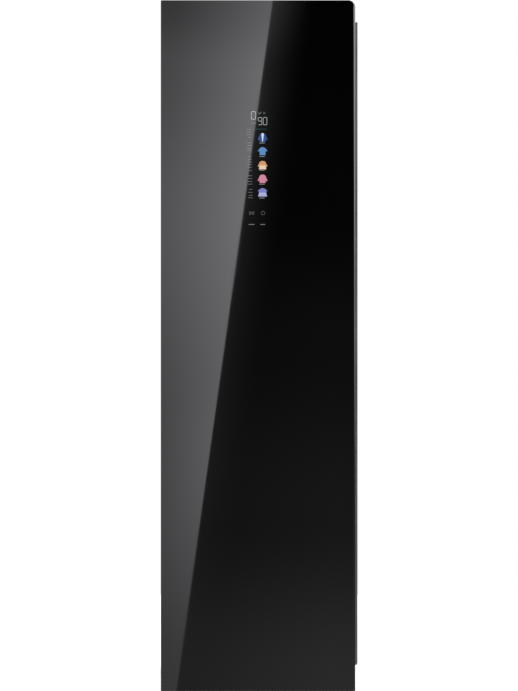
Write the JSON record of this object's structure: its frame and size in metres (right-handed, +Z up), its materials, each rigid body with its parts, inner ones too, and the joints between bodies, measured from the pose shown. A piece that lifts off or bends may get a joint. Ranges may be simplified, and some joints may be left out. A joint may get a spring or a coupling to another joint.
{
  "type": "clothes care steam cabinet",
  "caption": "Tall garment steam cabinet with a full-height black glass door, shaking hanger rail, wire shelf, two water tanks, lint filter and heat-pump machine room.",
  "frame": {"origin": "on the floor below the middle of the cabinet, at the middle of its depth; the grip stands out on the right only, so x = 0 is the case's mid-plane", "axes": "+Z up, +X to the right as one faces the door, the door faces -Y"},
  "size_m": [0.523, 0.593, 1.85],
  "materials": {
    "black_glass": "back-printed black tempered glass, polished",
    "black_plastic": "fine moulded texture",
    "honeycomb_core": "light filling core",
    "white_plastic": "satin moulded",
    "gasket_rubber": "matt",
    "anodised_grip": "dark grey anodised, satin",
    "grey_plastic": "fine moulded texture",
    "zinc_steel": "zinc coated",
    "polished_steel": "bright",
    "frame_plastic": "satin black",
    "case_paint": "satin powder coat",
    "foot_steel": "blackened",
    "clear_plastic": "milky translucent",
    "tank_plastic": "smoked, polished",
    "fin_aluminium": "mill",
    "compressor_paint": "black paint",
    "copper_pipe": "bare copper",
    "board_plastic": "moulded"
  },
  "bodies": {
    "cabinet": {"front_frame": "frame_plastic", "side_panel_left": "case_paint", "side_panel_right": "case_paint", "top_cover": "case_paint", "rear_panel": "zinc_steel", "base_frame": "zinc_steel", "upper_hinge_plate": "zinc_steel", "lower_hinge_plate": "zinc_steel", "upper_hinge_pin": "polished_steel", "lower_hinge_pin": "polished_steel", "chamber_liner": "white_plastic", "air_inlet_grille": "grey_plastic", "air_outlet_grille": "grey_plastic", "steam_nozzle": "grey_plastic", "ceiling_cover": "grey_plastic", "light_lens": "clear_plastic", "drive_frame": "zinc_steel", "drive_motor": "zinc_steel", "guide_rod_front": "polished_steel", "guide_rod_rear": "polished_steel", "tank_bay": "grey_plastic", "intake_duct": "grey_plastic", "exchanger_housing": "black_plastic", "evaporator": "fin_aluminium", "condenser": "fin_aluminium", "condensate_tray": "black_plastic", "blower_housing": "black_plastic", "blower_motor": "zinc_steel", "compressor": "compressor_paint", "steam_generator": "white_plastic", "steam_hose": "gasket_rubber", "supply_pump": "white_plastic", "drain_pump": "white_plastic", "suction_pipe": "copper_pipe", "discharge_pipe": "copper_pipe", "control_box": "board_plastic", "cord_gland": "gasket_rubber"},
    "door": {"door_glass": "black_glass", "door_frame": "black_plastic", "door_core": "honeycomb_core", "door_liner": "white_plastic", "door_gasket": "gasket_rubber", "grip_profile": "anodised_grip", "display_module": "black_plastic", "upper_hinge_bush": "grey_plastic", "lower_hinge_bush": "grey_plastic"},
    "moving_rail": {"hanger_rail": "anodised_grip", "rail_carriage": "grey_plastic"},
    "crank": {"crank_disc": "white_plastic"},
    "shelf": {"wire_shelf": "polished_steel"},
    "supply_tank_unit": {"supply_tank": "tank_plastic", "supply_tank_lid": "grey_plastic"},
    "drain_tank_unit": {"drain_tank": "tank_plastic", "drain_tank_lid": "grey_plastic"},
    "filter": {"lint_filter": "grey_plastic"},
    "impeller": {"blower_impeller": "grey_plastic"},
    "front_left_foot": {"foot_front_left": "foot_steel"},
    "rear_left_foot": {"foot_rear_left": "foot_steel"},
    "front_right_foot": {"foot_front_right": "foot_steel"},
    "rear_right_foot": {"foot_rear_right": "foot_steel"}
  },
  "joints": [
    {"name": "door_hinge", "type": "hinge", "parent": "cabinet", "child": "door", "pos_m": [-0.246, -0.2745, 0], "axis": [0, 0, -1], "range_deg": [0, 110]},
    {"name": "rail_shake", "type": "slide", "parent": "cabinet", "child": "moving_rail", "axis": [1, 0, 0], "range_m": [-0.02, 0.02]},
    {"name": "crank_turn", "type": "hinge", "parent": "cabinet", "child": "crank", "pos_m": [0, 0.0068, 1.81], "axis": [0, 0, 1], "range_deg": [-46, 46]},
    {"name": "shelf_slide", "type": "slide", "parent": "cabinet", "child": "shelf", "axis": [0, -1, 0], "range_m": [0, 0.35]},
    {"name": "supply_tank_slide", "type": "slide", "parent": "cabinet", "child": "supply_tank_unit", "axis": [0, -1, 0], "range_m": [0, 0.2]},
    {"name": "drain_tank_slide", "type": "slide", "parent": "cabinet", "child": "drain_tank_unit", "axis": [0, -1, 0], "range_m": [0, 0.2]},
    {"name": "filter_slide", "type": "slide", "parent": "cabinet", "child": "filter", "axis": [0, -1, 0], "range_m": [0, 0.18]},
    {"name": "blower_spin", "type": "hinge", "parent": "cabinet", "child": "impeller", "pos_m": [-0.026, 0.19, 0.19], "axis": [0, 1, 0], "continuous": true},
    {"name": "front_left_foot_screw", "type": "slide", "parent": "cabinet", "child": "front_left_foot", "axis": [0, 0, -1], "range_m": [0, 0.012]},
    {"name": "rear_left_foot_screw", "type": "slide", "parent": "cabinet", "child": "rear_left_foot", "axis": [0, 0, -1], "range_m": [0, 0.012]},
    {"name": "front_right_foot_screw", "type": "slide", "parent": "cabinet", "child": "front_right_foot", "axis": [0, 0, -1], "range_m": [0, 0.012]},
    {"name": "rear_right_foot_screw", "type": "slide", "parent": "cabinet", "child": "rear_right_foot", "axis": [0, 0, -1], "range_m": [0, 0.012]}
  ],
  "couplings": [
    {"joint": "crank_turn", "follows": "rail_shake", "rad_per_m": 39.27},
    {"joint": "shelf_slide", "follows": "door_hinge", "m_per_rad": 0.07},
    {"joint": "supply_tank_slide", "follows": "door_hinge", "m_per_rad": 0.1},
    {"joint": "drain_tank_slide", "follows": "door_hinge", "m_per_rad": 0.045},
    {"joint": "filter_slide", "follows": "door_hinge", "m_per_rad": 0.09}
  ]
}
